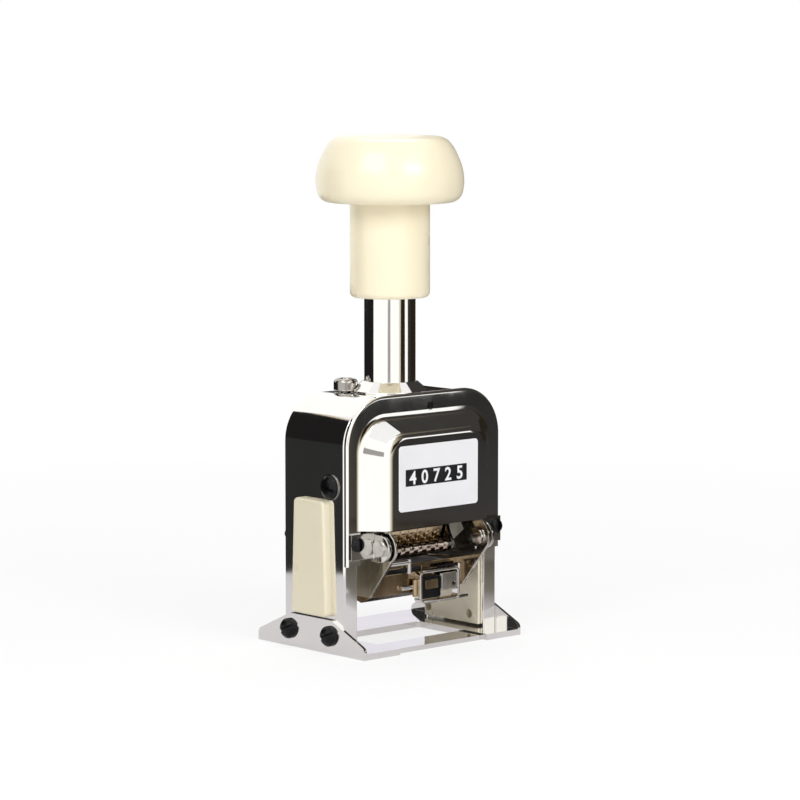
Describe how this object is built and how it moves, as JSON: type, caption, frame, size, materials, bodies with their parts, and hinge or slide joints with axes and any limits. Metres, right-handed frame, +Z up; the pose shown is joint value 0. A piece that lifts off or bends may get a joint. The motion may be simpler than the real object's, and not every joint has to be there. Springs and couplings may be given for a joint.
{
  "type": "automatic numbering machine",
  "caption": "Hand numbering stamp: chrome arched frame on a flat base, sprung plunger with a mushroom knob, brass number wheels and an ink arm that swings clear.",
  "frame": {"origin": "middle of the underside of the base plate", "axes": "+Z up along the plunger, -Y towards the label and the operator, +X to the operator's right"},
  "size_m": [0.0752, 0.0528, 0.1667],
  "materials": {
    "chrome": "polished chrome plate",
    "cream_plastic": "glossy moulding",
    "black_oxide": "glossy black",
    "brass": "machined",
    "bright_steel": "nickel plated",
    "spring_steel": "drawn wire",
    "label_white": "printed card",
    "dial_white": "enamelled",
    "ink_felt": "inked felt"
  },
  "bodies": {
    "frame": {"outer_frame": "chrome", "base_plate": "chrome", "base_screws": "black_oxide", "side_screws": "black_oxide", "side_washers": "chrome", "side_pad_left": "cream_plastic", "side_pad_right": "cream_plastic", "guide_plate_left": "chrome", "guide_plate_right": "chrome", "guide_spacers": "bright_steel", "front_cover": "chrome", "label_plate": "label_white", "back_cover": "chrome", "front_cover_screws": "black_oxide", "back_cover_screws": "black_oxide", "top_collar": "chrome", "guide_bush": "brass", "spring_bridge": "bright_steel", "main_spring": "spring_steel", "pivot_lug_left": "chrome", "pivot_lug_right": "chrome", "pivot_pins": "bright_steel", "dial_plate": "dial_white"},
    "plunger": {"plunger_tube": "chrome", "foot_screws": "bright_steel", "tube_cap": "bright_steel", "handle_sleeve": "cream_plastic", "handle_knob": "cream_plastic", "carriage_yoke": "bright_steel", "guide_shoe_left": "brass", "guide_shoe_right": "brass", "wheel_shaft": "bright_steel", "shaft_washers": "bright_steel", "detent_comb": "brass"},
    "wheel_1": {"number_wheel_1": "brass"},
    "wheel_2": {"number_wheel_2": "brass"},
    "wheel_3": {"number_wheel_3": "brass"},
    "wheel_4": {"number_wheel_4": "brass"},
    "wheel_5": {"number_wheel_5": "brass"},
    "wheel_6": {"number_wheel_6": "brass"},
    "wheel_7": {"number_wheel_7": "brass"},
    "feed_rocker": {"rocker_plate_left": "black_oxide", "rocker_plate_right": "black_oxide", "pawl_rod": "bright_steel", "feed_pawls": "bright_steel"},
    "ink_arm": {"ink_arm_left": "chrome", "ink_arm_right": "chrome", "drive_pins": "bright_steel", "ink_tray": "chrome", "ink_pad": "ink_felt", "pad_clip": "chrome"},
    "selector": {"selector_pointer": "bright_steel"},
    "lock": {"lock_knob": "chrome"}
  },
  "joints": [
    {"name": "plunger_press", "type": "slide", "parent": "frame", "child": "plunger", "axis": [0, 0, -1], "range_m": [0, 0.0258], "stiffness_N_per_m": 700, "springref_m": -0.014, "deforming": ["main_spring"]},
    {"name": "ink_arm_swing", "type": "hinge", "parent": "frame", "child": "ink_arm", "pos_m": [0, -0.021, 0.0345], "axis": [-1, 0, 0], "range_deg": [0, 100]},
    {"name": "feed_swing", "type": "hinge", "parent": "plunger", "child": "feed_rocker", "pos_m": [0, 0, 0.0375], "axis": [-1, 0, 0], "range_deg": [0, 36]},
    {"name": "wheel_1_spin", "type": "hinge", "parent": "plunger", "child": "wheel_1", "pos_m": [-0.0114, 0, 0.0375], "axis": [1, 0, 0], "continuous": true},
    {"name": "wheel_2_spin", "type": "hinge", "parent": "plunger", "child": "wheel_2", "pos_m": [-0.0076, 0, 0.0375], "axis": [1, 0, 0], "continuous": true},
    {"name": "wheel_3_spin", "type": "hinge", "parent": "plunger", "child": "wheel_3", "pos_m": [-0.0038, 0, 0.0375], "axis": [1, 0, 0], "continuous": true},
    {"name": "wheel_4_spin", "type": "hinge", "parent": "plunger", "child": "wheel_4", "pos_m": [0, 0, 0.0375], "axis": [1, 0, 0], "continuous": true},
    {"name": "wheel_5_spin", "type": "hinge", "parent": "plunger", "child": "wheel_5", "pos_m": [0.0038, 0, 0.0375], "axis": [1, 0, 0], "continuous": true},
    {"name": "wheel_6_spin", "type": "hinge", "parent": "plunger", "child": "wheel_6", "pos_m": [0.0076, 0, 0.0375], "axis": [1, 0, 0], "continuous": true},
    {"name": "wheel_7_spin", "type": "hinge", "parent": "plunger", "child": "wheel_7", "pos_m": [0.0114, 0, 0.0375], "axis": [1, 0, 0], "continuous": true},
    {"name": "selector_turn", "type": "hinge", "parent": "frame", "child": "selector", "pos_m": [0, 0.0156, 0.058], "axis": [0, 1, 0], "range_deg": [-75, 75]},
    {"name": "lock_turn", "type": "hinge", "parent": "frame", "child": "lock", "pos_m": [-0.0112, 0.0094, 0.0824], "axis": [0, 0, 1], "range_deg": [0, 90]}
  ],
  "couplings": [
    {"joint": "ink_arm_swing", "follows": "plunger_press", "rad_per_m": 67.6},
    {"joint": "feed_swing", "follows": "plunger_press", "rad_per_m": 24.3}
  ]
}
